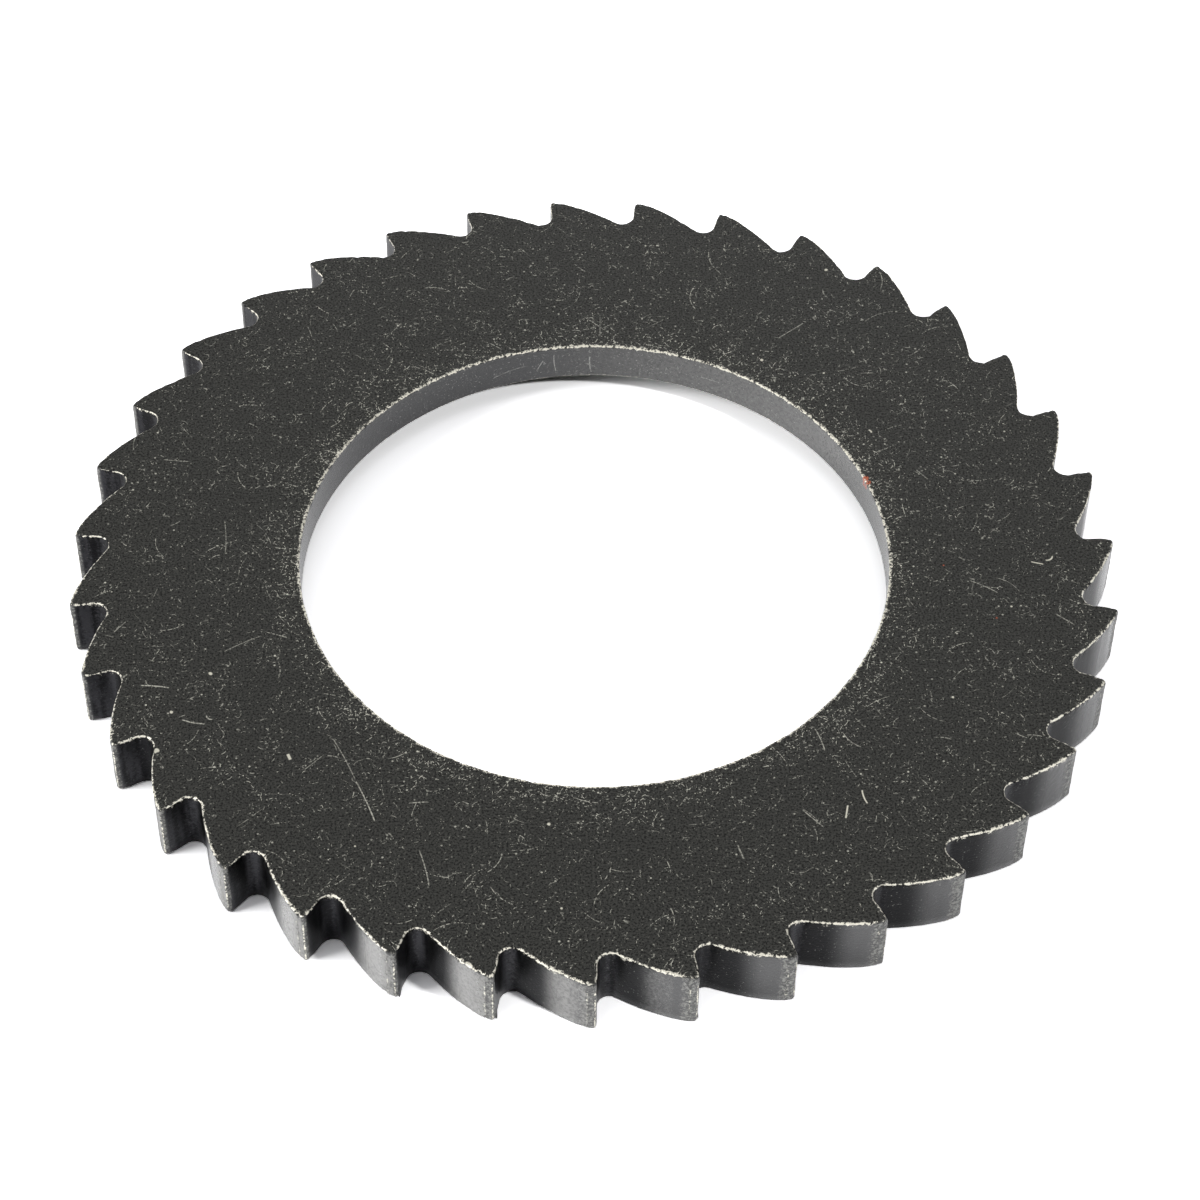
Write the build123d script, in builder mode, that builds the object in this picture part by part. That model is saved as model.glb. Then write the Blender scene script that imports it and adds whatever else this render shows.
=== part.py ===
from build123d import *
import os
from math import acos, asin, atan2, cos, degrees, radians, sin

# Ratchet gear: one flat steel ring with saw-like teeth round its rim and a large plain bore.
# Millimetres. The bore's axis is Z, the underside lies on Z = 0, and one tooth tip points along +X.
# Seen from above, each working face looks anticlockwise and its back falls away clockwise.

# Ring
thickness = 8.0
tip_diameter = 120.0  # over the tooth tips
ring_width = 26.25  # along a radius, from the bore to the tooth tips
recess_width = 6.25  # shallow seat round the bore, in the underside, along a radius
recess_depth = 3.0

# Teeth
tooth_count = 35
tooth_depth = 4.2  # from the tip circle to the lowest point of a gullet
tip_land = 1.0  # short flat that blunts a tip, measured along the tip circle
tip_land_fall = 0.15  # how far that flat drops towards the back
back_radius = 29.0  # the long back is a slightly convex arc
gullet_radius = 1.4  # round bottom between a back and the next working face

# Edges, broken by tumbling
tip_corner_radius = 0.4  # upright edge where a working face meets the tip's flat
rim_edge_break = 0.3  # along the toothed outline, above and below
bore_edge_radius = 0.3  # round the bore's upper mouth

# Worked out from the sizes above
tip_radius = tip_diameter / 2
bore_radius = tip_radius - ring_width
recess_radius = bore_radius + recess_width
pitch_angle = 360 / tooth_count
land_angle = degrees(tip_land / tip_radius)
gullet_centre_distance = tip_radius - tooth_depth + gullet_radius
gullet_lead_angle = degrees(asin(gullet_radius / gullet_centre_distance))


def on_ring(distance, angle):
    """Point at a distance from the axis, at an angle in degrees from +X."""
    return Vector(distance * cos(radians(angle)), distance * sin(radians(angle)))


def arc_centre(start, start_reach, end, end_reach):
    """Point that lies the given reaches away from start and end, to the right of the way between them."""
    way = end - start
    turn = acos((start_reach**2 + way.length**2 - end_reach**2) / (2 * start_reach * way.length))
    heading = atan2(way.Y, way.X) - turn
    return start + Vector(cos(heading), sin(heading)) * start_reach


# One gap runs clockwise from the tip on +X to the next tip. The gullet's round touches the next
# tooth's radial working face, and the back's arc runs into that round without a corner.
tip = on_ring(tip_radius, 0)
land_end = on_ring(tip_radius - tip_land_fall, -land_angle)
next_tip = on_ring(tip_radius, -pitch_angle)
gullet_centre = on_ring(gullet_centre_distance, gullet_lead_angle - pitch_angle)
back_centre = arc_centre(land_end, back_radius, gullet_centre, back_radius + gullet_radius)
back_foot = gullet_centre + (back_centre - gullet_centre).normalized() * gullet_radius
face_foot = on_ring(gullet_centre_distance * cos(radians(gullet_lead_angle)), -pitch_angle)

with BuildSketch() as gap:
    with BuildLine() as gap_outline:
        Line(tip, land_end)
        RadiusArc(land_end, back_foot, back_radius)
        RadiusArc(back_foot, face_foot, -gullet_radius)
        Line(face_foot, next_tip)
        RadiusArc(next_tip, tip, -tip_radius)
    make_face()

with BuildPart() as ratchet_gear:
    # The toothed blank: a disc with a gap cut at every pitch, then the upright edges rounded
    with BuildSketch() as blank:
        Circle(tip_radius)
        with PolarLocations(0, tooth_count):
            add(gap.sketch, mode=Mode.SUBTRACT)
        fillet(blank.vertices().group_by(SortBy.DISTANCE)[-1], tip_corner_radius)
    extrude(amount=thickness)

    # The bore, with its wider seat sunk into the underside
    with Locations(Location((0, 0, 0), (180, 0, 0))):
        CounterBoreHole(bore_radius, recess_radius, recess_depth)

    # The bore's upper mouth is rounded, and the toothed outline loses its sharp edges on both sides
    fillet(ratchet_gear.faces().sort_by(Axis.Z)[-1].inner_wires().edges(), bore_edge_radius)
    upper_face = ratchet_gear.faces().sort_by(Axis.Z)[-1]
    lower_face = ratchet_gear.faces().sort_by(Axis.Z)[0]
    chamfer(upper_face.outer_wire().edges() + lower_face.outer_wire().edges(), rim_edge_break)

ratchet_gear.part.label = "ratchet_gear"
os.makedirs("parts", exist_ok=True)
export_step(ratchet_gear.part, "parts/ratchet_gear.step")
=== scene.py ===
from math import cos, radians, sin

import bpy
import numpy as np
from mathutils import Matrix


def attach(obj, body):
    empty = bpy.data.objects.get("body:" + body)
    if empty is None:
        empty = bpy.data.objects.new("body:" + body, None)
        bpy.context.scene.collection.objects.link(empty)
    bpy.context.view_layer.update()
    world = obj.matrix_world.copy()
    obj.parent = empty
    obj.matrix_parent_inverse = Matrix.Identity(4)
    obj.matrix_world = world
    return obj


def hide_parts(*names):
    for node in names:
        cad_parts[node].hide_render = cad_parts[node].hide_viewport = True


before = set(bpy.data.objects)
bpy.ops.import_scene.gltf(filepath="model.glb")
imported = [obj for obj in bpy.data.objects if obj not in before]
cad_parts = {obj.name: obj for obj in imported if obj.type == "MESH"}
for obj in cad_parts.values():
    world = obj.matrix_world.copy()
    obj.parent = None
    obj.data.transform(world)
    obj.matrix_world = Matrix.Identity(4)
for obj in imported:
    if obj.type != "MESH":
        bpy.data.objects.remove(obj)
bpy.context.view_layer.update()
print("frame loaded:", sorted(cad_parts))

# The gear's form is worked out in millimetres, flat points as complex numbers with X real and Y
# imaginary, and turned into metres when the mesh is written.
metresPerMm = 0.001
mmPerMetre = 1000.0


# Camera

cameraLook = {
    "turn": -3.54,  # degrees round the bore's axis, from looking along +Y
    "sideways": 0.000699,  # metres from the bore's axis, across the view
    "behind": 0.26207,  # metres from the bore's axis, towards the viewer
    "above": 0.29978,  # metres over the floor
    "pitch": 48.844,  # degrees below the horizon
    "roll": 0.8207,
    "lens": 102.617,
    "sensor": 36.0,
}


def makeCamera(look):
    data = bpy.data.cameras.new("photoCamera")
    data.lens = look["lens"]
    data.sensor_width = look["sensor"]
    data.sensor_fit = "HORIZONTAL"
    data.clip_start = 0.01
    camera = bpy.data.objects.new("photoCamera", data)
    bpy.context.scene.collection.objects.link(camera)
    camera.matrix_world = (
        Matrix.Rotation(radians(look["turn"]), 4, "Z")
        @ Matrix.Translation((look["sideways"], -look["behind"], look["above"]))
        @ Matrix.Rotation(radians(90 - look["pitch"]), 4, "X")
        @ Matrix.Rotation(radians(look["roll"]), 4, "Z")
    )
    bpy.context.scene.camera = camera
    return camera


makeCamera(cameraLook)
print("camera placed")


# Outline of the teeth

gearForm = {
    "thickness": 8.0,
    "tipRadius": 60.0,
    "boreRadius": 33.75,
    "recessRadius": 40.0,
    "recessDepth": 3.0,
    "toothCount": 35,
    "toothDepth": 4.2,
    "tipLand": 1.0,  # short flat on a tip
    "landFall": 0.15,
    "backRadius": 29.0,
    "gulletRadius": 1.4,
    "tipCorner": 0.4,
}

# How many columns of the mesh each stretch of a tooth gets, clockwise from its working face
toothSteps = {"corner": 6, "land": 5, "back": 32, "gullet": 13, "face": 12}


def onRing(distance, degreesFromX):
    return distance * np.exp(1j * np.radians(degreesFromX))


def linePoints(start, end, count):
    return start + (end - start) * np.arange(count) / count


def arcPoints(centre, start, end, count):
    sweep = np.angle((end - centre) / (start - centre))
    return centre + (start - centre) * np.exp(1j * sweep * np.arange(count) / count)


def toothPoints(form, steps):
    pitch = 360 / form["toothCount"]
    tip = onRing(form["tipRadius"], 0)
    landAngle = np.degrees(form["tipLand"] / form["tipRadius"])
    landEnd = onRing(form["tipRadius"] - form["landFall"], -landAngle)

    # The gullet's round touches the next tooth's radial working face
    gulletReach = form["tipRadius"] - form["toothDepth"] + form["gulletRadius"]
    gulletLead = np.degrees(np.arcsin(form["gulletRadius"] / gulletReach))
    gulletCentre = onRing(gulletReach, gulletLead - pitch)
    faceFoot = onRing(gulletReach * np.cos(np.radians(gulletLead)), -pitch)

    # The back's arc starts at the flat's end and runs into the gullet's round
    way = gulletCentre - landEnd
    farReach = form["backRadius"] + form["gulletRadius"]
    opening = (form["backRadius"] ** 2 + abs(way) ** 2 - farReach**2) / (2 * form["backRadius"] * abs(way))
    backCentre = landEnd + form["backRadius"] * np.exp(1j * (np.angle(way) - np.arccos(opening)))
    backWay = (backCentre - gulletCentre) / abs(backCentre - gulletCentre)
    backFoot = gulletCentre + backWay * form["gulletRadius"]

    # Rounded upright edge between the working face and the flat
    alongFace = -1 + 0j
    alongLand = (landEnd - tip) / abs(landEnd - tip)
    halfAngle = abs(np.angle(alongLand / alongFace)) / 2
    cornerReach = form["tipCorner"] / np.tan(halfAngle)
    middleWay = (alongFace + alongLand) / abs(alongFace + alongLand)
    cornerCentre = tip + middleWay * form["tipCorner"] / np.sin(halfAngle)
    faceTouch = tip + alongFace * cornerReach
    landTouch = tip + alongLand * cornerReach
    nextTouch = faceTouch * np.exp(-1j * np.radians(pitch))

    return np.concatenate([
        arcPoints(cornerCentre, faceTouch, landTouch, steps["corner"]),
        linePoints(landTouch, landEnd, steps["land"]),
        arcPoints(backCentre, landEnd, backFoot, steps["back"]),
        arcPoints(gulletCentre, backFoot, faceFoot, steps["gullet"]),
        linePoints(faceFoot, nextTouch, steps["face"]),
    ])


def rimPoints(form, steps):
    tooth = toothPoints(form, steps)
    turns = np.exp(-2j * np.pi * np.arange(form["toothCount"]) / form["toothCount"])
    return (turns[:, None] * tooth[None, :]).ravel()


def stretchMask(form, steps, names):
    # 1 on the columns of the named stretches of every tooth, 0 elsewhere
    tooth = np.concatenate([np.full(count, float(name in names)) for name, count in steps.items()])
    mask = np.tile(tooth, form["toothCount"])
    return (np.roll(mask, 1) + 2 * mask + np.roll(mask, -1)) / 4


def outerMask(form, steps, near, far):
    # 1 on the tips and the backs' outer part, fading to 0 between two shares of the way down a back
    down = np.clip((np.arange(steps["back"]) / steps["back"] - near) / (far - near), 0, 1)
    back = 1 - down * down * (3 - 2 * down)
    tip = np.ones(steps["corner"] + steps["land"])
    tooth = np.concatenate([tip, back, np.zeros(steps["gullet"] + steps["face"])])
    mask = np.tile(tooth, form["toothCount"])
    return (np.roll(mask, 1) + 2 * mask + np.roll(mask, -1)) / 4


def uprightMask(form, steps, width):
    # 1 along the two upright edges of every tip's flat, fading over a width in columns
    column = np.arange(sum(steps.values()))
    front = np.exp(-(((column - steps["corner"] * 0.6) / width) ** 2))
    rear = np.exp(-(((column - steps["corner"] - steps["land"]) / width) ** 2))
    return np.tile(front + 0.8 * rear, form["toothCount"])


def tipMask(form, rim, near, far):
    # 1 at the tips' flats, fading to 0 at a distance in mm from them
    reach = form["tipRadius"] - form["landFall"] / 2
    halfLand = np.degrees(form["tipLand"] / form["tipRadius"]) / 2
    tips = onRing(reach, -360 / form["toothCount"] * np.arange(form["toothCount"]) - halfLand)
    gap = abs(rim[:, None] - tips[None, :]).min(axis=1)
    return np.clip((far - gap) / (far - near), 0, 1)


def inwardReach(rim, target):
    # How far each column gets from the rim, square to it, on the straight way to its target
    ahead = np.roll(rim, -1) - rim
    behind = rim - np.roll(rim, 1)
    along = ahead / abs(ahead) + behind / abs(behind)
    return ((target - rim) * np.conj(-1j * along / abs(along))).real


def sunkRing(rim, target, reach, inset):
    # The ring at an inset in mm that differs from column to column; below 0 it stands proud.
    # Every column keeps to its own straight way, so that no two columns cross
    return rim + (target - rim) * np.minimum(inset / reach, 0.6)


# Seeded unevenness of the worn steel

def ringNoise(draws, count, knots, octaves=3):
    # Smooth noise round a closed ring, about -1 to 1
    total = np.zeros(count)
    for octave in range(octaves):
        values = draws.uniform(-1, 1, knots * 2**octave)
        place = np.arange(count) / count * len(values)
        low = place.astype(int)
        share = place - low
        share = share * share * (3 - 2 * share)
        total += (values[low] * (1 - share) + values[(low + 1) % len(values)] * share) * 0.5**octave
    return total / 1.3


def sheetNoise(draws, rows, count, levels, knots):
    # The same on a wall, with levels up it and knots round it
    sheet = np.array([ringNoise(draws, count, knots, 2) for level in range(levels)])
    place = np.linspace(0, levels - 1.001, rows)
    low = place.astype(int)
    share = (place - low)[:, None]
    return sheet[low] * (1 - share) + sheet[low + 1] * share


def ringNicks(draws, rim, count, shortest, longest):
    # Small dents along an edge: how deep each column is struck, 0 to 1
    depth = np.zeros(len(rim))
    for nick in range(count):
        place = rim[draws.integers(len(rim))]
        reach = draws.uniform(shortest, longest)
        depth = np.maximum(depth, draws.uniform(0.3, 1) * np.exp(-((abs(rim - place) / reach) ** 2)))
    return depth


def placedNicks(rim, nicks):
    depth = np.zeros(len(rim))
    for nick in nicks:
        place = onRing(nick["radius"], nick["angle"])
        depth = np.maximum(depth, nick["depth"] * np.exp(-((abs(rim - place) / nick["reach"]) ** 2)))
    return depth


# The gear's mesh: rows run round the ring, and together they close the ring's section

gearWear = {
    "seed": 35,
    "rimRoll": 0.24,  # how far the upper edge is rounded over the face, mm
    "rimDrop": 0.17,  # and down the wall
    "lowerRoll": 0.20,
    "tipRoll": 0.22,  # added to both at the tips
    "boreRoll": 0.30,
    "boreDrop": 0.18,
    "bandBack": 0.80,  # reach of the bright band over the face, mm
    "bandFace": 0.36,
    "bandBore": 0.90,
    "bandWall": 0.32,
    "bandFar": 0.45,  # how much of the band is left on the teeth round +Y
    "uprightShare": 0.88,  # how bright the tips' upright edges are worn
    "uprightRight": 0.0,  # the same on the teeth round +X
    "uprightWidth": 1.6,  # in columns of the mesh
    "streakDepth": 0.022,
    "boreStreak": 0.002,
    "landDepth": 0.10,
    "nickCount": 300,
    "nickSpan": (0.12, 0.45),
    "nickReach": 0.26,
    "boreNickCount": 90,
    "boreNickSpan": (0.15, 0.5),
    "rollRange": (0.05, 0.72),
    # Distances in mm from the tips' flats where a zone is full and where it ends
    "landZone": (0.75, 2.2),
    "rollZone": (0.5, 1.5),
    "bandZone": (0.8, 4.5),
    "burrZone": (0.75, 1.5),
    "outerZone": (0.30, 0.72),  # shares of the way down a back
    # Knots round the ring for each unevenness
    "edgeKnots": 420,
    "lowerKnots": 300,
    "bandKnots": 90,
    "streakKnots": 800,
    "wallKnots": 900,
    "boreKnots": 300,
    "boreStreakKnots": 420,
    "chips": [  # struck places on the upper edge, degrees from +X
        {"angle": -151.4, "radius": 56.2, "reach": 0.55, "depth": 0.5},
        {"angle": -82.9, "radius": 59.6, "reach": 0.5, "depth": 0.35},
        {"angle": -72.6, "radius": 59.7, "reach": 0.6, "depth": 0.3},
        {"angle": -94.2, "radius": 59.2, "reach": 0.5, "depth": 0.3},
        {"angle": -113.4, "radius": 59.7, "reach": 0.5, "depth": 0.4},
        {"angle": -55.5, "radius": 57.6, "reach": 0.5, "depth": 0.25},
    ],
    "burrs": {11: 0.40, 10: 0.30, 8: 0.16, 13: 0.14},  # lip at the foot of a working face, by tooth, mm
    "edgeSteps": 5,
    "wallSteps": 6,
    "fineRing": 54.2,  # radius where the fine columns end
    "coarseRing": 51.0,
    "ringLag": -2.8,  # degrees, so that the columns fan inwards without crossing
}


# What the mesh tells the steel about each of its points, 0 to 1
maskNames = ("brightEdge", "wallShare", "tipLand", "gullet", "outerWall")


def makeGearMesh(form, wear, steps):
    draws = np.random.default_rng(wear["seed"])
    rim = rimPoints(form, steps)
    count = len(rim)
    ringAngles = -2 * np.pi * np.arange(count) / count + np.radians(wear["ringLag"])
    target = wear["fineRing"] * np.exp(1j * ringAngles)
    reach = inwardReach(rim, target)
    top = form["thickness"]
    gullet = stretchMask(form, steps, ("gullet", "face"))
    land = tipMask(form, rim, *wear["landZone"]) * (1 - stretchMask(form, steps, ("face",)))
    tips = tipMask(form, rim, *wear["rollZone"])
    outer = outerMask(form, steps, *wear["outerZone"])
    rightSide = np.clip(2.5 * np.cos(np.angle(rim) + 0.18) - 1.5, 0, 1)
    upright = wear["uprightShare"] + (wear["uprightRight"] - wear["uprightShare"]) * rightSide
    upright = upright * uprightMask(form, steps, wear["uprightWidth"])

    points = []
    masks = []

    def addRow(flat, height, bright, wall, landShare=0.0, gulletShare=0.0, outerShare=0.8):
        size = len(flat)
        points.append(np.stack([flat.real, flat.imag, np.broadcast_to(height, size)], 1))
        shares = (bright, wall, landShare, gulletShare, outerShare)
        masks.append(np.stack([np.broadcast_to(share, size) for share in shares], 1))

    # Fine rows, from the upper face out over the rim and in again under it
    nicks = ringNicks(draws, rim, wear["nickCount"], *wear["nickSpan"]) * wear["nickReach"]
    nicks = np.maximum(nicks, placedNicks(rim, wear["chips"]))
    roll = wear["rimRoll"] * (1 + 0.35 * ringNoise(draws, count, wear["edgeKnots"])) + nicks
    drop = wear["rimDrop"] * (1 + 0.40 * ringNoise(draws, count, wear["edgeKnots"])) + 0.7 * nicks
    lowerRoll = wear["lowerRoll"] * (1 + 0.5 * ringNoise(draws, count, wear["lowerKnots"]))
    roll = np.clip(roll + wear["tipRoll"] * tips, *wear["rollRange"])
    drop = np.clip(drop + wear["tipRoll"] * tips, *wear["rollRange"])
    lowerRoll = lowerRoll + wear["tipRoll"] * tips
    nearTip = tipMask(form, rim, *wear["bandZone"])
    bandBack = wear["bandBack"] * (0.65 + 0.6 * nearTip)
    band = bandBack * (1 - gullet) + wear["bandFace"] * gullet
    band = band * (1 + 0.35 * ringNoise(draws, count, wear["bandKnots"]))
    farSide = np.clip(0.5 + 0.9 * np.sin(np.angle(rim)), 0, 1)
    band = band * (1 - (1 - wear["bandFar"]) * farSide)
    addRow(target, top, 0, 0)
    addRow(rim + (target - rim) * 0.8, top, 0, 0)
    for inset in (0.98, roll + 0.16):
        addRow(sunkRing(rim, target, reach, inset), top, np.clip(1 - inset / band, 0, 1), 0)
    streaks = wear["streakDepth"] * (1 + ringNoise(draws, count, wear["streakKnots"], 3)) / 2
    rough = sheetNoise(draws, wear["wallSteps"] + 2, count, 7, wear["wallKnots"])
    landRough = wear["landDepth"] * land * (1 + rough) / 2
    for stage in range(wear["edgeSteps"] + 1):
        slope = np.pi / 2 * stage / wear["edgeSteps"]
        share = stage / wear["edgeSteps"]
        inset = roll * (1 - np.sin(slope)) + np.sin(slope) * (streaks + landRough[0])
        depth = drop * (1 - np.cos(slope))
        bright = np.minimum(1 - np.maximum(inset - 0.05, 0) / band,
                            1 - np.maximum(depth - 0.08, 0) / wear["bandWall"])
        addRow(sunkRing(rim, target, reach, inset), top - depth, np.clip(bright, 0, 1), share,
               land * share, gullet * share, outer)
    for stage in range(1, wear["wallSteps"] + 1):
        share = stage / (wear["wallSteps"] + 1)
        height = (top - drop) * (1 - share) + lowerRoll * share
        bright = np.maximum(np.clip(1 - (top - height - 0.08) / wear["bandWall"], 0, 1), upright)
        ring = sunkRing(rim, target, reach, streaks + landRough[stage])
        addRow(ring, height, bright, 1, land, gullet, outer)
    burr = np.zeros(count)
    faceTips = stretchMask(form, steps, ("face", "corner")) * tipMask(form, rim, *wear["burrZone"])
    toothSize = sum(steps.values())
    for tooth, lip in wear["burrs"].items():
        middle = (tooth * toothSize - 3) % count
        column = (np.arange(count) - middle + count // 2) % count - count // 2
        burr += lip * faceTips * np.exp(-((column / 3.0) ** 2))
    for stage in range(3):
        slope = np.pi / 2 * stage / 2
        inset = lowerRoll * (1 - np.cos(slope)) + np.cos(slope) * (streaks + landRough[-1])
        inset = inset - burr * (1 - stage / 2)
        bright = np.maximum(0.5 * np.sin(2 * slope), upright * (1 - stage / 2))
        addRow(sunkRing(rim, target, reach, inset), lowerRoll * (1 - np.sin(slope)), bright,
               1 - stage / 2, land, gullet, outer)
    addRow(sunkRing(rim, target, reach, lowerRoll + 0.25), 0, 0, 0)
    addRow(rim + (target - rim) * 0.8, 0, 0, 0)
    addRow(target, 0, 0, 0)
    fineRows = len(points)

    # Coarse rows, in over the underside, the recess and the bore, and out over the upper face
    half = count // 2
    spokes = np.exp(1j * ringAngles[::2])
    bore = form["boreRadius"]
    recess = form["recessRadius"]
    seat = form["recessDepth"]
    boreNicks = ringNicks(draws, bore * spokes, wear["boreNickCount"], *wear["boreNickSpan"])
    boreRoll = wear["boreRoll"] * (1 + 0.4 * ringNoise(draws, half, wear["boreKnots"])) + 0.28 * boreNicks
    boreDrop = wear["boreDrop"] * (1 + 0.5 * ringNoise(draws, half, wear["boreKnots"])) + 0.22 * boreNicks
    boreStreaks = wear["boreStreak"] * (1 + ringNoise(draws, half, wear["boreStreakKnots"], 2)) / 2
    for radius, height in ((wear["coarseRing"], 0), (45.0, 0), (recess + 0.35, 0), (recess + 0.18, 0.03),
                           (recess, 0.2), (recess, seat - 0.4), (recess - 0.12, seat - 0.12),
                           (recess - 0.4, seat), (36.5, seat)):
        addRow(radius * spokes, height, 0, 0)
    addRow((bore + 0.3) * spokes, seat, 0.2, 0)
    addRow((bore + 0.14) * spokes, seat + 0.02, 0.6, 0.3)
    addRow((bore + 0.04) * spokes, seat + 0.07, 0.9, 0.7)
    addRow((bore + boreStreaks) * spokes, seat + 0.16, 0.6, 1)
    for share in (0.1, 0.3, 0.5, 0.7, 0.88):
        height = seat + 0.16 + (top - boreDrop - seat - 0.16) * share
        bright = np.clip(1 - (top - height - 0.08) / wear["bandWall"], 0, 1)
        addRow((bore + boreStreaks) * spokes, height, bright, 1)
    for stage in range(wear["edgeSteps"] + 1):
        slope = np.pi / 2 * (1 - stage / wear["edgeSteps"])
        inset = boreRoll * (1 - np.sin(slope)) + np.sin(slope) * boreStreaks
        depth = boreDrop * (1 - np.cos(slope))
        bright = np.minimum(1 - np.maximum(inset - 0.05, 0) / wear["bandBore"],
                            1 - np.maximum(depth - 0.08, 0) / wear["bandWall"])
        addRow((bore + inset) * spokes, top - depth, np.clip(bright, 0, 1), 1 - stage / wear["edgeSteps"])
    for reach in (0.15, 0.4, 0.8):
        inset = boreRoll + reach
        addRow((bore + inset) * spokes, top, np.clip(1 - inset / wear["bandBore"], 0, 1), 0)
    for radius in (37.0, 41.0, 46.0, wear["coarseRing"]):
        addRow(radius * spokes, top, 0, 0)
    rows = len(points)

    faces = []
    starts = np.cumsum([0] + [len(row) for row in points])
    for row in range(rows - 1):
        if row == fineRows - 1:
            continue
        size = len(points[row])
        here = np.arange(size)
        there = (here + 1) % size
        faces += np.stack([starts[row] + here, starts[row] + there,
                           starts[row + 1] + there, starts[row + 1] + here], 1).tolist()

    # Strips that join two fine columns to one coarse column, below and above
    def joinStrip(fineStart, coarseStart, flip):
        fine = fineStart + 2 * np.arange(half)
        middle = fine + 1
        last = fineStart + (2 * np.arange(half) + 2) % count
        near = coarseStart + np.arange(half)
        far = coarseStart + (np.arange(half) + 1) % half
        for a, b, c in ((fine, near, middle), (near, far, middle), (middle, far, last)):
            ways = (a, c, b) if flip else (a, b, c)
            faces.extend(np.stack(ways, 1).tolist())

    joinStrip(starts[fineRows - 1], starts[fineRows], True)
    joinStrip(starts[0], starts[rows - 1], False)

    mesh = bpy.data.meshes.new("gearBody")
    mesh.from_pydata((np.concatenate(points) * metresPerMm).tolist(), [], faces)
    allMasks = np.concatenate(masks)
    for place, name in enumerate(maskNames):
        attribute = mesh.attributes.new(name, "FLOAT", "POINT")
        attribute.data.foreach_set("value", allMasks[:, place].astype(np.float32))
    mesh.validate()
    mesh.shade_smooth()
    return mesh


gearMesh = makeGearMesh(gearForm, gearWear, toothSteps)
gear = bpy.data.objects.new("gearBody", gearMesh)
bpy.context.scene.collection.objects.link(gear)
print("gear mesh:", len(gearMesh.vertices), "points,",
      sum(len(face.vertices) - 2 for face in gearMesh.polygons), "triangles")


# Tumbled, blackened steel

def newNode(tree, kind, **settings):
    node = tree.nodes.new("ShaderNode" + kind)
    for name, value in settings.items():
        setattr(node, name, value)
    return node


def feed(tree, socket, value):
    if isinstance(value, bpy.types.NodeSocket):
        tree.links.new(value, socket)
    else:
        socket.default_value = value


def calc(tree, operation, first, second=0.0, clamp=False):
    node = newNode(tree, "Math", operation=operation, use_clamp=clamp)
    feed(tree, node.inputs[0], first)
    feed(tree, node.inputs[1], second)
    return node.outputs[0]


def product(tree, *values):
    total = values[0]
    for value in values[1:]:
        total = calc(tree, "MULTIPLY", total, value)
    return total


def largest(tree, *values):
    total = values[0]
    for value in values[1:]:
        total = calc(tree, "MAXIMUM", total, value)
    return total


def smoothStep(tree, value, low, high, bottom=0.0, peak=1.0):
    node = newNode(tree, "MapRange", interpolation_type="SMOOTHSTEP")
    feed(tree, node.inputs["Value"], value)
    feed(tree, node.inputs["From Min"], low)
    feed(tree, node.inputs["From Max"], high)
    feed(tree, node.inputs["To Min"], bottom)
    feed(tree, node.inputs["To Max"], peak)
    return node.outputs["Result"]


def mixColour(tree, share, first, second, blend="MIX"):
    node = newNode(tree, "Mix", data_type="RGBA", blend_type=blend)
    feed(tree, node.inputs[0], share)
    feed(tree, node.inputs[6], first)
    feed(tree, node.inputs[7], second)
    return node.outputs[2]


def mixValue(tree, share, first, second):
    node = newNode(tree, "Mix", data_type="FLOAT")
    feed(tree, node.inputs[0], share)
    feed(tree, node.inputs[2], first)
    feed(tree, node.inputs[3], second)
    return node.outputs[0]


def scaled(tree, vector, factors):
    node = newNode(tree, "VectorMath", operation="MULTIPLY")
    feed(tree, node.inputs[0], vector)
    node.inputs[1].default_value = factors
    return node.outputs[0]


def shifted(tree, vector, offset):
    node = newNode(tree, "VectorMath", operation="ADD")
    feed(tree, node.inputs[0], vector)
    node.inputs[1].default_value = offset
    return node.outputs[0]


def noise(tree, vector, scale, detail=2.0, roughness=0.5):
    node = newNode(tree, "TexNoise", noise_dimensions="3D")
    feed(tree, node.inputs["Vector"], vector)
    node.inputs["Scale"].default_value = scale
    node.inputs["Detail"].default_value = detail
    node.inputs["Roughness"].default_value = roughness
    return node.outputs["Fac"]


def attribute(tree, name):
    return newNode(tree, "Attribute", attribute_name=name).outputs["Fac"]


def scatteredDots(tree, point, marks):
    # Small round specks, one to a cell at most, each with its own size and strength
    cell = marks["cell"]
    seed = marks["seed"]
    cells = newNode(tree, "TexVoronoi", voronoi_dimensions="2D", feature="F1")
    feed(tree, cells.inputs["Vector"], shifted(tree, point, (seed, seed * 1.7, seed * 0.6)))
    cells.inputs["Scale"].default_value = 1 / cell
    draws = newNode(tree, "SeparateColor")
    feed(tree, draws.inputs[0], cells.outputs["Color"])
    radius = smoothStep(tree, draws.outputs[0], 0.0, 1.0, marks["smallest"] / cell, marks["biggest"] / cell)
    dot = smoothStep(tree, calc(tree, "DIVIDE", cells.outputs["Distance"], radius), 0.55, 1.0, 1.0, 0.0)
    return product(tree, dot, smoothStep(tree, draws.outputs[1], marks["sparse"], 1.0))


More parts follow.
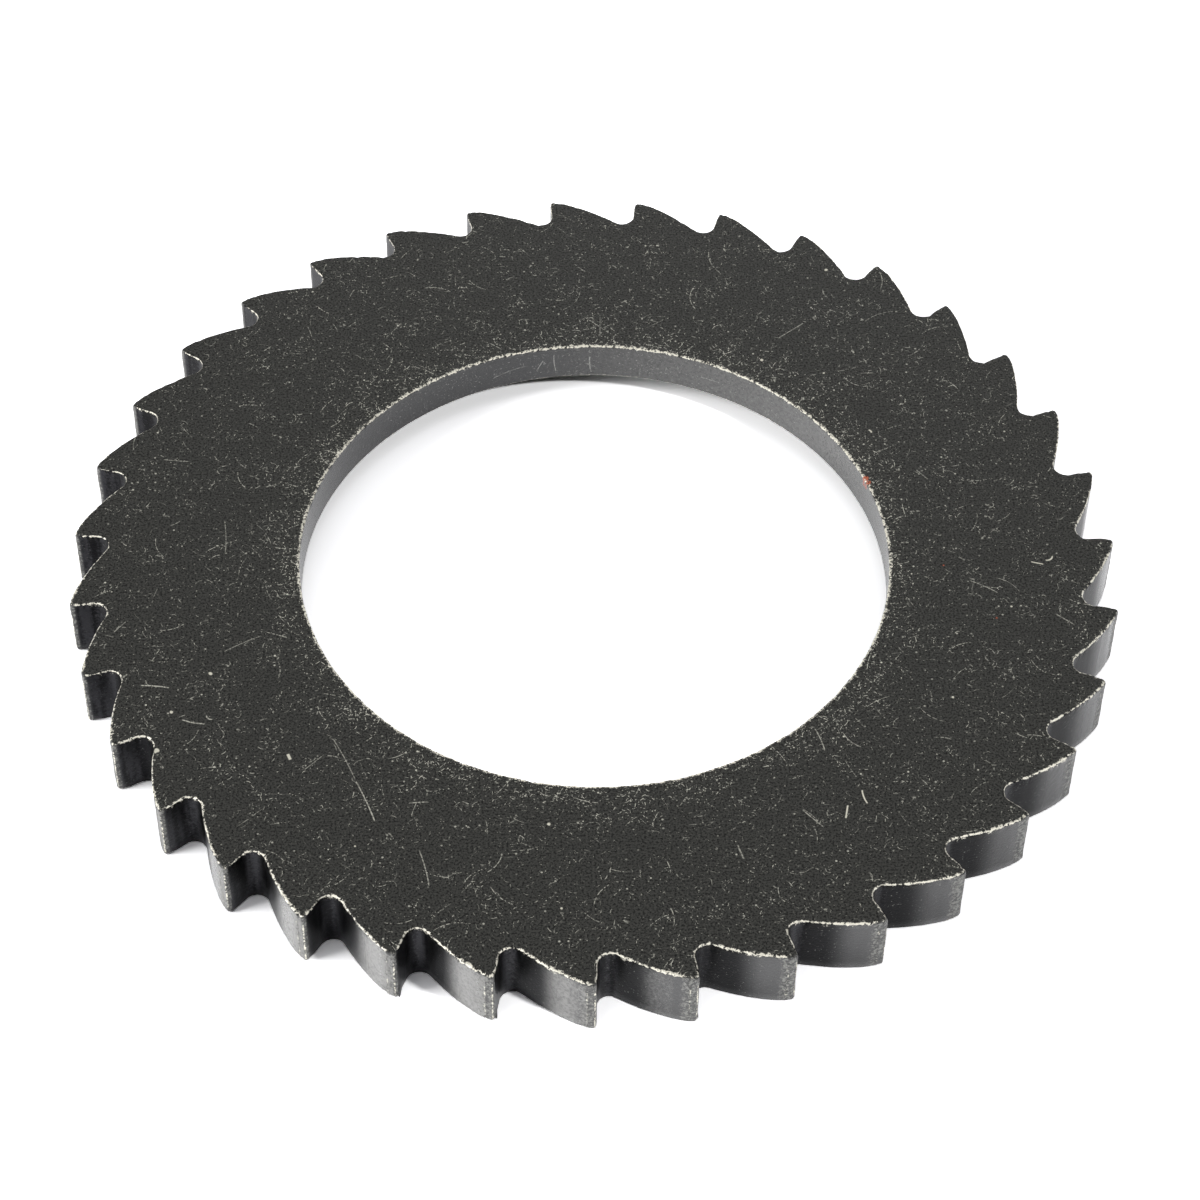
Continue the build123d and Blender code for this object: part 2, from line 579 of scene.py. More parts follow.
def scatteredDashes(tree, point, marks, crowd):
    # Short curved hairlines, one to a cell at most, each turned its own way; crowd is the share kept
    length = marks["length"]
    width = marks["width"]
    moved = shifted(tree, point, (marks["seed"], marks["seed"] * 1.7, 0))
    cells = newNode(tree, "TexVoronoi", voronoi_dimensions="2D", feature="F1")
    feed(tree, cells.inputs["Vector"], moved)
    cells.inputs["Scale"].default_value = 1 / marks["cell"]
    draws = newNode(tree, "SeparateColor")
    feed(tree, draws.inputs[0], cells.outputs["Color"])
    fromCentre = newNode(tree, "VectorMath", operation="SUBTRACT")
    feed(tree, fromCentre.inputs[0], moved)
    feed(tree, fromCentre.inputs[1], cells.outputs["Position"])
    turned = newNode(tree, "VectorRotate", rotation_type="Z_AXIS")
    feed(tree, turned.inputs["Vector"], fromCentre.outputs[0])
    feed(tree, turned.inputs["Angle"], calc(tree, "MULTIPLY", draws.outputs[0], fullTurn))
    parts = newNode(tree, "SeparateXYZ")
    feed(tree, parts.inputs[0], turned.outputs[0])
    bend = smoothStep(tree, draws.outputs[1], 0.0, 1.0, -marks["bend"], marks["bend"])
    curve = product(tree, parts.outputs[0], parts.outputs[0], bend)
    across = calc(tree, "ABSOLUTE", calc(tree, "ADD", parts.outputs[1], curve))
    along = calc(tree, "ABSOLUTE", parts.outputs[0])
    reach = calc(tree, "MULTIPLY", draws.outputs[2], length)
    lineShare = smoothStep(tree, across, width * 0.35, width, 1.0, 0.0)
    endShare = smoothStep(tree, calc(tree, "SUBTRACT", reach, along), 0.0, length * 0.3)
    kept = smoothStep(tree, calc(tree, "ADD", draws.outputs[1], crowd), *steelLimits["keptDashes"])
    return product(tree, lineShare, endShare, kept)


def wanderingLines(tree, point, marks):
    # Thin curved scratches that follow the level lines of a noise and break off here and there
    width = marks["width"]
    seed = marks["seed"]
    field = noise(tree, shifted(tree, point, (seed, seed * 0.7, seed * 1.3)), marks["scale"], 1)
    offLevel = calc(tree, "ABSOLUTE", calc(tree, "SUBTRACT", field, 0.5))
    line = smoothStep(tree, offLevel, width * 0.3, width, 1.0, 0.0)
    kept = noise(tree, shifted(tree, point, (seed * 2.1, 4, seed)), marks["scale"] * 1.6, 1)
    return product(tree, line, smoothStep(tree, kept, marks["keep"], marks["keep"] + 0.12))


def measure(tree, flat, start, way):
    # How far a flat point lies from a start in one way
    node = newNode(tree, "VectorMath", operation="DOT_PRODUCT")
    feed(tree, node.inputs[0], flat)
    node.inputs[1].default_value = (way[0], way[1], 0)
    return calc(tree, "SUBTRACT", node.outputs["Value"], start[0] * way[0] + start[1] * way[1])


def placedLine(tree, flat, mark):
    # One scratch or fibre from its start to its end, both in mm on the face or on the unrolled bore
    startX, startY = mark["start"]
    wayX = mark["end"][0] - startX
    wayY = mark["end"][1] - startY
    length = (wayX**2 + wayY**2) ** 0.5
    along = measure(tree, flat, (startX, startY), (wayX / length**2, wayY / length**2))
    side = measure(tree, flat, (startX, startY), (-wayY / length, wayX / length))
    if mark["bend"]:
        sag = product(tree, along, calc(tree, "SUBTRACT", 1.0, along), 4 * mark["bend"])
        side = calc(tree, "SUBTRACT", side, sag)
    line = smoothStep(tree, calc(tree, "ABSOLUTE", side), mark["width"] * 0.4, mark["width"], 1.0, 0.0)
    fromMiddle = calc(tree, "ABSOLUTE", calc(tree, "SUBTRACT", along, 0.5))
    ends = smoothStep(tree, fromMiddle, 0.44, 0.5, 1.0, 0.0)
    return product(tree, line, ends)


def placedSpot(tree, flat, mark, ragged):
    # One ragged spot round a point, in mm on the upper face
    fromMiddle = newNode(tree, "VectorMath", operation="LENGTH")
    feed(tree, fromMiddle.inputs[0], shifted(tree, flat, (-mark["middle"][0], -mark["middle"][1], 0)))
    edge = calc(tree, "ADD", fromMiddle.outputs["Value"], calc(tree, "MULTIPLY", ragged, mark["size"] * 1.4))
    return smoothStep(tree, edge, mark["size"] * 1.3, mark["size"] * 1.7, 1.0, 0.0)


fullTurn = 6.2832

steelLook = {
    "faceColour": (0.025, 0.025, 0.020, 1),
    "faceDark": (0.004, 0.004, 0.003, 1),
    "speckColour": (0.74, 0.73, 0.63, 1),
    "fibreColour": (0.62, 0.60, 0.50, 1),
    "paintColour": (0.42, 0.09, 0.035, 1),
    "wallColour": (0.007, 0.0072, 0.008, 1),
    "gulletColour": (0.024, 0.024, 0.027, 1),
    "gulletDark": (0.003, 0.003, 0.004, 1),
    "paintedLightColour": (0.21, 0.208, 0.20, 1),  # painted light: the lighter colour of walls that face the left-front lamp
    "paintedLightWay": 222,  # which way the walls painted lighter face, degrees from +X
    "wallSpeck": (0.32, 0.32, 0.30, 1),
    "landColour": (0.21, 0.21, 0.195, 1),
    "landDark": (0.024, 0.024, 0.023, 1),
    "wornColour": (0.80, 0.77, 0.66, 1),
    "pitColour": (0.006, 0.006, 0.004, 1),
    "ior": 1.55,
    "faceRough": 0.66,
    "wallRough": (0.16, 0.30),
    "gulletRough": 0.42,
    "boreRough": 0.26,
    "landRough": 0.45,
    "wornRough": 0.42,
    "wornMetal": 0.30,
    "speckMetal": 0.5,
    "darkMetal": 0.65,
    "reliefDepth": 0.000016,
    "faceRelief": 2.2,  # shares of that depth
    "wallRelief": 1.6,
    "mottleRelief": 4.0,
    "crumbRelief": 5.6,
}

# Noises of the steel: scale per mm, detail and roughness, and an offset that keeps them apart
steelNoise = {
    "grain": {"scale": 4.0, "detail": 2, "rough": 0.7, "offset": (0, 0, 0)},
    "faceWear": {"scale": 0.25, "detail": 3, "rough": 0.5, "offset": (0, 0, 0)},
    "breaks": {"scale": 3.6, "detail": 1, "rough": 0.5, "offset": (4, 2, 7)},
    "crumbs": {"scale": 4.6, "detail": 2, "rough": 0.6, "offset": (3, 8, 1)},
    "ragged": {"scale": 2.1, "detail": 4, "rough": 0.75, "offset": (5, 1, 8)},
    "streaks": {"scale": 2.4, "detail": 2, "rough": 0.65, "offset": (0, 0, 0)},
    "mottle": {"scale": 2.6, "detail": 2, "rough": 0.75, "offset": (2, 9, 4)},
    "patches": {"scale": 0.9, "detail": 2, "rough": 0.5, "offset": (0, 0, 0)},
    "wallSpecks": {"scale": 4.4, "detail": 2, "rough": 0.6, "offset": (7, 3, 5)},
    "pits": {"scale": 3.3, "detail": 2, "rough": 0.5, "offset": (1, 6, 2)},
}

# Values at which a mask starts and is full
steelLimits = {
    "onWall": (0.3, 0.7),
    "grain": (0.365, 0.635),
    "faceWear": (0.34, 0.66),
    "breaks": (0.44, 0.54),
    "fineSpecks": (0.725, 0.765),
    "keptDashes": (1.0, 1.45),
    "patches": (0.43, 0.58),
    "wallSpecks": (0.66, 0.72),
    "landColour": (0.42, 0.62),
    "landPart": (0.45, 0.95),
    # painted side light: where the walls' facing starts and is full, outside and in the bore, and its
    # mottling
    "paintedSideLight": (0.87, 0.99),
    "paintedSideLightInBore": (0.45, 1.1),
    "paintedSideLightMottle": (0.30, 0.62),
    "worn": (0.69, 0.86),
    "pits": (0.55, 0.60),
    "pitEdge": (0.25, 0.6),
    "paintGrain": (0.36, 0.5),
    "darkGrain": (0.32, 0.54),
    "crumbEdge": (0.1, 0.7),
}

# Scattered marks of the upper face, in mm, and how they gather
faceMarkLook = {
    "dots": {"cell": 1.3, "smallest": 0.07, "biggest": 0.15, "sparse": 0.55, "seed": 5.0},
    "shortDashes": {"cell": 0.60, "length": 0.42, "width": 0.046, "bend": 0.9, "seed": 3.0},
    "otherDashes": {"cell": 0.95, "length": 0.80, "width": 0.048, "bend": 0.5, "seed": 8.0},
    "longDashes": {"cell": 3.2, "length": 2.6, "width": 0.055, "bend": 0.16, "seed": 11.0},
    "lines": {"scale": 0.55, "width": 0.012, "keep": 0.54, "seed": 6.0},
    "crowdLow": 0.02,  # share kept where the face is least worn
    "crowdHigh": 0.50,
    "crowdAtBore": 0.50,  # added at the bore's edge
    "boreReach": 7,  # how far that gathering reaches from the bore
    "crumbsInCrowd": 0.075,
    "moreLongDashes": 0.3,
    "longShare": 0.8,
    "lineShare": 0.5,
    "dashShare": 0.85,
    "speckShare": 0.9,
    "placedLow": 0.35,  # how much of a placed scratch is left where it breaks off
}

# Marks of the walls
wallMarkLook = {
    "stretch": 0.05,  # how little the streaks change up a wall
    "speckShare": 0.45,
    "speckShareInBore": 0.6,
    "moreSpecksInBore": 0.03,
    "fewerInGullet": 0.6,
    "scratchShare": 0.7,
    "patchShare": 0.6,
    "mottleShift": 1.2,
    # painted side light on the walls: its ragged border, its share in the bore and its mottling
    "paintedSideLightRagged": 0.10,
    "paintedSideLightInBore": 0.5,
    "paintedSideLightLow": 0.5,  # how much of the painted side light the darkest and the lightest mottles keep
    "paintedSideLightHigh": 1.05,
    "wornRagged": 1.75,
    "mottledWall": 0.35,
}

# Scratches that stand out on the upper face, in mm
faceScratches = [
    {"start": (-30.0, -25.8), "end": (-27.50, -31.82), "width": 0.07, "bend": 0.12, "strength": 0.42},
    {"start": (-27.50, -31.82), "end": (-25.43, -37.58), "width": 0.09, "bend": 0.10, "strength": 0.62},
    {"start": (-51.25, -17.45), "end": (-48.00, -17.91), "width": 0.10, "bend": 0.10, "strength": 0.75},
    {"start": (24.06, 34.20), "end": (27.36, 36.71), "width": 0.08, "bend": 0.0, "strength": 0.50},
    {"start": (-46.52, -22.48), "end": (-43.94, -23.21), "width": 0.11, "bend": -0.16, "strength": 0.65},
    {"start": (-43.83, -22.02), "end": (-43.13, -22.62), "width": 0.11, "bend": -0.20, "strength": 0.60},
    {"start": (-42.11, -12.94), "end": (-37.89, -10.74), "width": 0.06, "bend": 0.10, "strength": 0.45},
    {"start": (-49.79, 16.97), "end": (-46.68, 16.48), "width": 0.08, "bend": 0.0, "strength": 0.42},
    {"start": (-42.46, 7.05), "end": (-42.27, 1.71), "width": 0.06, "bend": 0.15, "strength": 0.42},
    {"start": (-54.51, -9.56), "end": (-53.18, -7.99), "width": 0.08, "bend": 0.0, "strength": 0.42},
    {"start": (-20.81, -41.41), "end": (-19.79, -46.40), "width": 0.08, "bend": 0.12, "strength": 0.48},
    {"start": (-21.83, -35.20), "end": (-19.59, -35.13), "width": 0.09, "bend": 0.05, "strength": 0.55},
    {"start": (20.47, -37.90), "end": (22.61, -40.42), "width": 0.08, "bend": 0.0, "strength": 0.50},
    {"start": (13.15, -42.35), "end": (13.71, -44.31), "width": 0.11, "bend": 0.0, "strength": 0.50},
    {"start": (22.85, -26.75), "end": (23.69, -30.01), "width": 0.09, "bend": 0.12, "strength": 0.50},
    {"start": (-33.05, -30.14), "end": (-31.02, -28.21), "width": 0.06, "bend": 0.0, "strength": 0.40},
    {"start": (42.53, -5.89), "end": (45.55, -7.92), "width": 0.08, "bend": 0.08, "strength": 0.50},
    {"start": (51.61, -11.29), "end": (53.59, -13.09), "width": 0.08, "bend": 0.0, "strength": 0.45},
    {"start": (38.36, 11.65), "end": (39.56, 10.04), "width": 0.08, "bend": 0.0, "strength": 0.42},
    {"start": (2.61, 38.87), "end": (2.43, 35.47), "width": 0.06, "bend": 0.0, "strength": 0.40},
]

# Fibres and flecks of dust caught on the upper face
faceFibres = [
    {"start": (25.05, -39.3), "end": (25.45, -37.5), "width": 0.12, "bend": 0.0},
    {"start": (27.6, -37.4), "end": (27.2, -35.5), "width": 0.11, "bend": 0.12},
    {"start": (49.9, -3.35), "end": (51.3, -3.8), "width": 0.10, "bend": 0.0},
    {"start": (51.6, -3.2), "end": (52.5, -2.55), "width": 0.13, "bend": -0.25},
    {"start": (-34.85, -27.85), "end": (-34.55, -28.65), "width": 0.22, "bend": 0.0},
    {"start": (33.45, 18.35), "end": (33.75, 17.85), "width": 0.14, "bend": 0.08},
]

# Small pale spots, middle and size in mm
paleSpots = [
    {"middle": (-47.68, -21.41), "size": 0.24},
    {"middle": (-43.53, -16.07), "size": 0.26},
    {"middle": (-5.95, -49.83), "size": 0.18},
    {"middle": (-27.58, -40.73), "size": 0.14},
    {"middle": (38.56, -22.99), "size": 0.18},
    {"middle": (31.01, 45.95), "size": 0.24},
    {"middle": (46.78, -10.02), "size": 0.16},
    {"middle": (21.74, 30.55), "size": 0.22},
    {"middle": (29.04, 28.03), "size": 0.18},
    {"middle": (-6.85, -38.68), "size": 0.22},
    {"middle": (-49.15, -26.75), "size": 0.42},
]

paintSpots = [
    {"middle": (32.30, 10.50), "size": 0.46},
    {"middle": (32.55, 9.85), "size": 0.36},
    {"middle": (44.86, -11.65), "size": 0.16},
    {"middle": (39.82, -3.48), "size": 0.12},
]

# Scratches on the bore's wall: millimetres round it from +X and above the floor
boreScratches = [
    {"start": (56.25, 6.9), "end": (56.0, 4.0), "width": 0.09, "bend": 0.10},
    {"start": (57.6, 6.1), "end": (58.4, 4.5), "width": 0.08, "bend": 0.0},
    {"start": (51.9, 6.4), "end": (51.7, 3.6), "width": 0.10, "bend": 0.10},
    {"start": (52.5, 5.2), "end": (51.2, 4.6), "width": 0.09, "bend": 0.0},
    {"start": (59.6, 5.6), "end": (64.0, 4.7), "width": 0.07, "bend": 0.15},
    {"start": (35.6, 5.5), "end": (38.2, 5.4), "width": 0.07, "bend": 0.0},
]


def namedNoise(tree, vector, name):
    settings = steelNoise[name]
    if any(settings["offset"]):
        vector = shifted(tree, vector, settings["offset"])
    return noise(tree, vector, settings["scale"], settings["detail"], settings["rough"])


def limited(tree, value, name, bottom=0.0, peak=1.0):
    return smoothStep(tree, value, *steelLimits[name], bottom, peak)


def rest(tree, share):
    return calc(tree, "SUBTRACT", 1.0, share)


def readPlaces(tree, form):
    # Millimetres, the mesh's own masks, the zones of the form and the noises that parts share
    place = newNode(tree, "TexCoord").outputs["Object"]
    at = {name: attribute(tree, name) for name in maskNames}
    at["point"] = scaled(tree, place, (mmPerMetre,) * 3)
    at["flat"] = scaled(tree, place, (mmPerMetre, mmPerMetre, 0))
    at["upright"] = scaled(tree, place, (mmPerMetre, mmPerMetre, mmPerMetre * wallMarkLook["stretch"]))
    parts = newNode(tree, "SeparateXYZ")
    feed(tree, parts.inputs[0], at["point"])
    at["height"] = parts.outputs[2]
    bore = form["boreRadius"]
    unrolled = newNode(tree, "CombineXYZ")
    turn = calc(tree, "ARCTAN2", parts.outputs[1], parts.outputs[0])
    feed(tree, unrolled.inputs[0], calc(tree, "MULTIPLY", turn, bore))
    feed(tree, unrolled.inputs[1], at["height"])
    at["unrolled"] = unrolled.outputs[0]
    fromAxis = newNode(tree, "VectorMath", operation="LENGTH")
    feed(tree, fromAxis.inputs[0], at["flat"])
    radius = fromAxis.outputs["Value"]
    at["onWall"] = limited(tree, at["wallShare"], "onWall")
    at["nearBore"] = smoothStep(tree, radius, bore, bore + faceMarkLook["boreReach"], 1.0, 0.0)
    at["inBore"] = smoothStep(tree, radius, bore + 0.3, bore + 0.6, 1.0, 0.0)
    overSeat = smoothStep(tree, radius, form["recessRadius"] - 0.2, form["recessRadius"] + 0.3, 1.0, 0.0)
    seat = form["recessDepth"]
    at["inSeat"] = product(tree, overSeat, smoothStep(tree, at["height"], seat, seat + 0.3, 1.0, 0.0))
    at["nearTop"] = smoothStep(tree, at["height"], form["thickness"] - 1.3, form["thickness"] - 0.8)
    at["grain"] = namedNoise(tree, at["point"], "grain")
    at["ragged"] = namedNoise(tree, at["point"], "ragged")
    at["mottle"] = namedNoise(tree, at["point"], "mottle")
    at["breaks"] = limited(tree, namedNoise(tree, at["point"], "breaks"), "breaks")
    at["placedBreaks"] = smoothStep(tree, at["breaks"], 0.0, 1.0, faceMarkLook["placedLow"], 1.0)
    return at


def faceSteel(tree, look, marks, at):
    # Dark mottled ground, fine specks and hairlines that crowd near the bore, placed scratches and dust
    flat = at["flat"]
    ground = mixColour(tree, limited(tree, at["grain"], "grain"), look["faceDark"], look["faceColour"])
    wear = namedNoise(tree, at["point"], "faceWear")
    crowd = limited(tree, wear, "faceWear", marks["crowdLow"], marks["crowdHigh"])
    crowd = calc(tree, "ADD", crowd, calc(tree, "MULTIPLY", at["nearBore"], marks["crowdAtBore"]))
    crowd = product(tree, crowd, rest(tree, at["inSeat"]))
    crumbs = calc(tree, "MULTIPLY", crowd, marks["crumbsInCrowd"])
    fineSpecks = limited(tree, calc(tree, "ADD", namedNoise(tree, flat, "crumbs"), crumbs), "fineSpecks")
    dots = scatteredDots(tree, flat, marks["dots"])
    dots = product(tree, dots, smoothStep(tree, crowd, 0.1, 0.6, 0.3, 0.9))
    shortDashes = scatteredDashes(tree, flat, marks["shortDashes"], crowd)
    otherDashes = scatteredDashes(tree, flat, marks["otherDashes"], crowd)
    moreCrowd = calc(tree, "ADD", crowd, marks["moreLongDashes"])
    longDashes = scatteredDashes(tree, flat, marks["longDashes"], moreCrowd)
    longDashes = product(tree, longDashes, marks["longShare"])
    lines = product(tree, wanderingLines(tree, at["point"], marks["lines"]), marks["lineShare"])
    dashes = largest(tree, shortDashes, otherDashes, longDashes, lines)
    dashes = product(tree, dashes, at["breaks"], marks["dashShare"])
    faceMarks = largest(tree, product(tree, fineSpecks, marks["speckShare"]), dots, dashes)
    placed = [product(tree, placedLine(tree, flat, mark), mark["strength"]) for mark in faceScratches]
    faceMarks = largest(tree, faceMarks, product(tree, at["placedBreaks"], largest(tree, *placed)))
    faceMarks = calc(tree, "MINIMUM", faceMarks, 1.0)
    colour = mixColour(tree, faceMarks, ground, look["speckColour"])
    dust = [placedLine(tree, flat, mark) for mark in faceFibres]
    dust += [placedSpot(tree, flat, mark, at["ragged"]) for mark in paleSpots]
    return mixColour(tree, largest(tree, *dust), colour, look["fibreColour"]), faceMarks


def paintedSideLightShare(tree, look, marks, at, mottleShift):
    # Painted light: outer walls that face one way are painted lighter, as if lit from that side
    towards = newNode(tree, "VectorMath", operation="DOT_PRODUCT")
    feed(tree, towards.inputs[0], newNode(tree, "NewGeometry").outputs["Normal"])
    way = radians(look["paintedLightWay"])
    towards.inputs[1].default_value = (cos(way), sin(way), 0)
    ragged = calc(tree, "MULTIPLY", mottleShift, marks["paintedSideLightRagged"])
    facingSideLight = calc(tree, "ADD", towards.outputs["Value"], ragged)
    low = mixValue(tree, at["inBore"], steelLimits["paintedSideLight"][0], steelLimits["paintedSideLightInBore"][0])
    high = mixValue(tree, at["inBore"], steelLimits["paintedSideLight"][1], steelLimits["paintedSideLightInBore"][1])
    paintedSideLight = product(tree, at["outerWall"], smoothStep(tree, facingSideLight, low, high))
    paintedSideLight = product(tree, paintedSideLight, mixValue(tree, at["inBore"], 1.0, marks["paintedSideLightInBore"]))
    mottled = limited(tree, at["mottle"], "paintedSideLightMottle", marks["paintedSideLightLow"], marks["paintedSideLightHigh"])
    return product(tree, paintedSideLight, mottled)


def wallSteel(tree, look, marks, at):
    # Satin walls with upright patches, specks and scratches, lighter tip flats, and backs painted lighter
    # where they face the lamp (painted light)
    patches = product(tree, namedNoise(tree, at["upright"], "patches"), marks["patchShare"])
    patches = calc(tree, "ADD", patches, product(tree, at["mottle"], 1 - marks["patchShare"]))
    patches = limited(tree, patches, "patches")
    gulletGround = mixColour(tree, patches, look["gulletDark"], look["gulletColour"])
    colour = mixColour(tree, at["gullet"], look["wallColour"], gulletGround)
    specks = namedNoise(tree, at["point"], "wallSpecks")
    specks = calc(tree, "ADD", specks, product(tree, at["inBore"], marks["moreSpecksInBore"]))
    speckShare = mixValue(tree, at["inBore"], marks["speckShare"], marks["speckShareInBore"])
    fewer = rest(tree, product(tree, at["gullet"], marks["fewerInGullet"]))
    wallMarks = product(tree, limited(tree, specks, "wallSpecks"), speckShare, fewer)
    boreLines = largest(tree, *[placedLine(tree, at["unrolled"], mark) for mark in boreScratches])
    boreLines = product(tree, boreLines, at["inBore"], at["placedBreaks"], marks["scratchShare"])
    colour = mixColour(tree, largest(tree, wallMarks, boreLines), colour, look["wallSpeck"])
    mottleShift = calc(tree, "MULTIPLY", calc(tree, "SUBTRACT", at["mottle"], 0.5), marks["mottleShift"])
    landPale = limited(tree, at["mottle"], "landColour")
    landColour = mixColour(tree, landPale, look["landDark"], look["landColour"])
    landPart = limited(tree, calc(tree, "ADD", at["tipLand"], mottleShift), "landPart")
    colour = mixColour(tree, landPart, colour, landColour)
    # painted light: walls that face the left-front lamp are mixed towards a lighter colour
    paintedSideLight = paintedSideLightShare(tree, look, marks, at, mottleShift)
    return mixColour(tree, paintedSideLight, colour, look["paintedLightColour"]), landPart


def wornSteel(tree, look, marks, at, surface):
    # Worn edges: bare metal with dark pits and a ragged border, and the paint that was left on them
    ragged = calc(tree, "MULTIPLY", calc(tree, "SUBTRACT", at["ragged"], 0.5), marks["wornRagged"])
    worn = limited(tree, calc(tree, "ADD", at["brightEdge"], ragged), "worn")
    pits = limited(tree, namedNoise(tree, at["point"], "pits"), "pits")
    pits = product(tree, pits, limited(tree, at["brightEdge"], "pitEdge"))
    surface = mixColour(tree, worn, surface, look["wornColour"])
    surface = mixColour(tree, pits, surface, look["pitColour"])
    spots = largest(tree, *[placedSpot(tree, at["flat"], mark, at["ragged"]) for mark in paintSpots])
    spots = product(tree, spots, at["nearTop"], limited(tree, at["grain"], "paintGrain"))
    return mixColour(tree, spots, surface, look["paintColour"]), worn, pits


def steelRelief(tree, look, marks, at, landPart):
    # Fine grain all over, mottled walls, pitted flats and crumbled edges
    mottled = largest(tree, landPart, product(tree, at["outerWall"], at["onWall"], marks["mottledWall"]))
    grain = product(tree, at["grain"], mixValue(tree, at["onWall"], look["faceRelief"], look["wallRelief"]))
    relief = calc(tree, "ADD", grain, product(tree, mottled, at["mottle"], look["mottleRelief"]))
    crumbs = product(tree, limited(tree, at["brightEdge"], "crumbEdge"), at["ragged"], look["crumbRelief"])
    bump = newNode(tree, "Bump")
    bump.inputs["Strength"].default_value = 1.0
    bump.inputs["Distance"].default_value = look["reliefDepth"]
    feed(tree, bump.inputs["Height"], calc(tree, "ADD", relief, crumbs))
    return bump.outputs[0]


def makeSteel(look, form):
    material = bpy.data.materials.new("tumbledSteel")
    material.use_nodes = True
    tree = material.node_tree
    tree.nodes.clear()
    at = readPlaces(tree, form)
    onWall = at["onWall"]
    faceColour, faceMarks = faceSteel(tree, look, faceMarkLook, at)
    wallColour, landPart = wallSteel(tree, look, wallMarkLook, at)
    surface = mixColour(tree, onWall, faceColour, wallColour)
    surface, worn, pits = wornSteel(tree, look, wallMarkLook, at, surface)

    shader = newNode(tree, "BsdfPrincipled")
    feed(tree, shader.inputs["Base Color"], surface)
    shader.inputs["IOR"].default_value = look["ior"]

    # Black walls and dark grain count as metal, so that no pale gloss lies over them
    bare = product(tree, worn, rest(tree, pits))
    onFace = rest(tree, onWall)
    unworn = rest(tree, worn)
    blackWall = product(tree, onWall, rest(tree, at["outerWall"]), unworn)
    darkGrain = product(tree, onFace, limited(tree, at["grain"], "darkGrain", look["darkMetal"], 0.0), unworn)
    speckMetal = product(tree, faceMarks, onFace, look["speckMetal"])
    metal = largest(tree, product(tree, bare, look["wornMetal"]), speckMetal, blackWall, darkGrain)
    feed(tree, shader.inputs["Metallic"], metal)

    roughness = mixValue(tree, namedNoise(tree, at["upright"], "streaks"), *look["wallRough"])
    roughness = mixValue(tree, at["outerWall"], look["gulletRough"], roughness)
    roughness = mixValue(tree, at["inBore"], roughness, look["boreRough"])
    roughness = mixValue(tree, landPart, roughness, look["landRough"])
    roughness = mixValue(tree, onWall, look["faceRough"], roughness)
    feed(tree, shader.inputs["Roughness"], mixValue(tree, bare, roughness, look["wornRough"]))
    feed(tree, shader.inputs["Normal"], steelRelief(tree, look, wallMarkLook, at, landPart))

    output = newNode(tree, "OutputMaterial")
    feed(tree, output.inputs["Surface"], shader.outputs[0])
    return material


gearMesh.materials.append(makeSteel(steelLook, gearForm))
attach(gear, "root")
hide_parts("ratchet_gear")
print("gear finished in tumbled steel")


# Floor and lights

studio = {
    "floorSize": 3.0,
    "floorColour": (0.82, 0.82, 0.82, 1),  # what the lamps' light falls on
    "floorSeen": (2.05, 2.05, 2.06, 1),  # to the camera and in reflections
    "floorDrop": 0.00002,  # metres under the gear, so that the two never share a plane
    "backdrop": (1.0, 1.0, 1.0, 1),
    "fill": (1.08, 1.08, 1.12, 1),  # soft light from overhead
    "fillLow": 0.8,  # where it fades to nothing, as the sine of its height
    "nothing": (0.0, 0.0, 0.0, 1),
    "horizonTop": 0.36,  # how high the pale backdrop reaches in reflections, as the sine of its height
    # Lamps: degrees round the bore's axis from +X and above the floor, metres, watts
    "leftLamp": {
        "azimuth": 194.8, "elevation": 31, "distance": 0.8,
        "tall": 0.42, "wide": 0.34, "power": 4.95,
    },
    "rightLamp": {
        "azimuth": 326.4, "elevation": 43.5, "distance": 0.8,
        "tall": 0.050, "wide": 0.050, "power": 2.98,
    },
    "backLamp": {
        "azimuth": 84, "elevation": 20, "distance": 0.9,
        "tall": 0.20, "wide": 0.60, "power": 2.4,
    },
    "sideLamp": {
        "azimuth": 232, "elevation": 7, "distance": 1.0,
        "tall": 0.14, "wide": 0.5, "power": 2.8,
    },
}


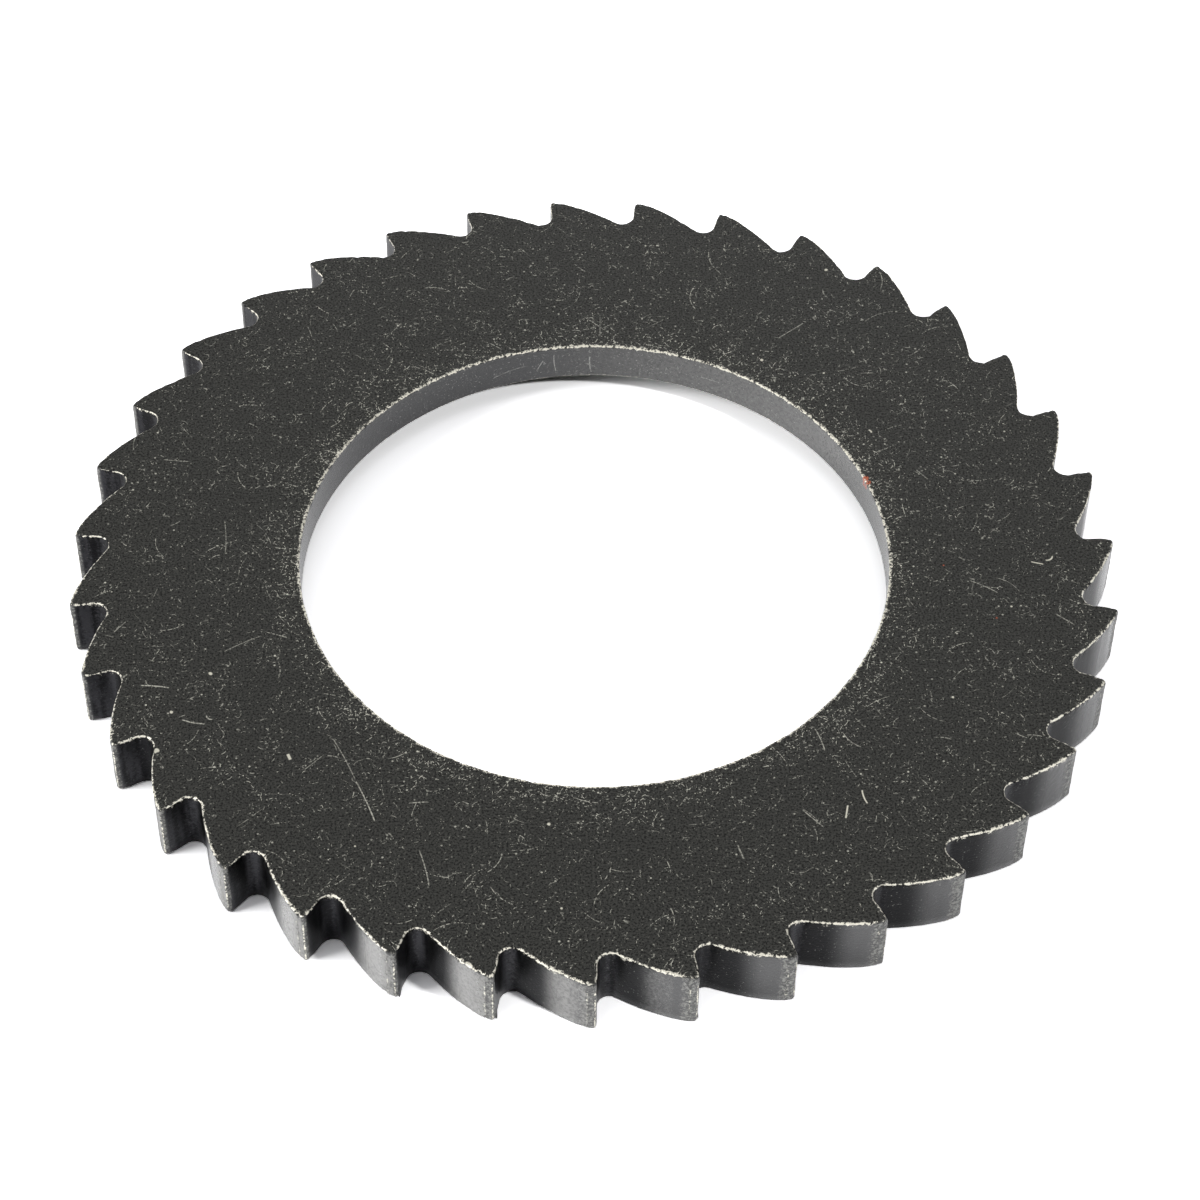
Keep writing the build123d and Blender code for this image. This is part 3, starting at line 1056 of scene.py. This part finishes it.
def makeFloor(look):
    half = look["floorSize"] / 2
    mesh = bpy.data.meshes.new("studioFloor")
    corners = [(-half, -half, 0), (half, -half, 0), (half, half, 0), (-half, half, 0)]
    mesh.from_pydata(corners, [], [(0, 1, 2, 3)])
    floor = bpy.data.objects.new("studioFloor", mesh)
    floor.location.z = -look["floorDrop"]
    bpy.context.scene.collection.objects.link(floor)
    material = bpy.data.materials.new("whitePaper")
    material.use_nodes = True
    tree = material.node_tree
    tree.nodes.clear()
    ray = newNode(tree, "LightPath")
    seen = calc(tree, "MAXIMUM", ray.outputs["Is Camera Ray"], ray.outputs["Is Glossy Ray"])
    direct = calc(tree, "LESS_THAN", ray.outputs["Diffuse Depth"], 0.5)
    seen = calc(tree, "MULTIPLY", seen, direct)
    paper = newNode(tree, "BsdfDiffuse")
    feed(tree, paper.inputs["Color"], mixColour(tree, seen, look["floorColour"], look["floorSeen"]))
    output = newNode(tree, "OutputMaterial")
    feed(tree, output.inputs["Surface"], paper.outputs[0])
    mesh.materials.append(material)
    return floor


def makeLamp(name, look, turn):
    data = bpy.data.lights.new(name, "AREA")
    data.shape = "RECTANGLE"
    data.size = look["tall"]
    data.size_y = look["wide"]
    data.energy = look["power"]
    lamp = bpy.data.objects.new(name, data)
    bpy.context.scene.collection.objects.link(lamp)
    lamp.matrix_world = (
        Matrix.Rotation(radians(look["azimuth"] + turn), 4, "Z")
        @ Matrix.Rotation(radians(90 - look["elevation"]), 4, "Y")
        @ Matrix.Translation((0, 0, look["distance"]))
    )
    return lamp


def makeWorld(look):
    world = bpy.data.worlds.new("studioRoom")
    bpy.context.scene.world = world
    world.use_nodes = True
    tree = world.node_tree
    tree.nodes.clear()
    ray = newNode(tree, "LightPath")
    parts = newNode(tree, "SeparateXYZ")
    feed(tree, parts.inputs[0], newNode(tree, "TexCoord").outputs["Generated"])
    low = smoothStep(tree, parts.outputs[2], 0.0, look["horizonTop"], 1.0, 0.0)
    mirrored = calc(tree, "MULTIPLY", low, ray.outputs["Is Glossy Ray"])
    shown = calc(tree, "MAXIMUM", ray.outputs["Is Camera Ray"], mirrored)
    overhead = smoothStep(tree, parts.outputs[2], look["fillLow"], 1.0)
    overhead = mixColour(tree, overhead, look["nothing"], look["fill"])
    overhead = mixColour(tree, ray.outputs["Is Glossy Ray"], overhead, look["nothing"])
    background = newNode(tree, "Background")
    feed(tree, background.inputs["Color"], mixColour(tree, shown, overhead, look["backdrop"]))
    output = newNode(tree, "OutputWorld")
    feed(tree, output.inputs["Surface"], background.outputs[0])


makeFloor(studio)
for lampName in ("leftLamp", "rightLamp", "backLamp", "sideLamp"):
    makeLamp(lampName, studio[lampName], cameraLook["turn"])
makeWorld(studio)
bpy.context.scene.view_settings.view_transform = "Standard"
print("floor and lamps placed")
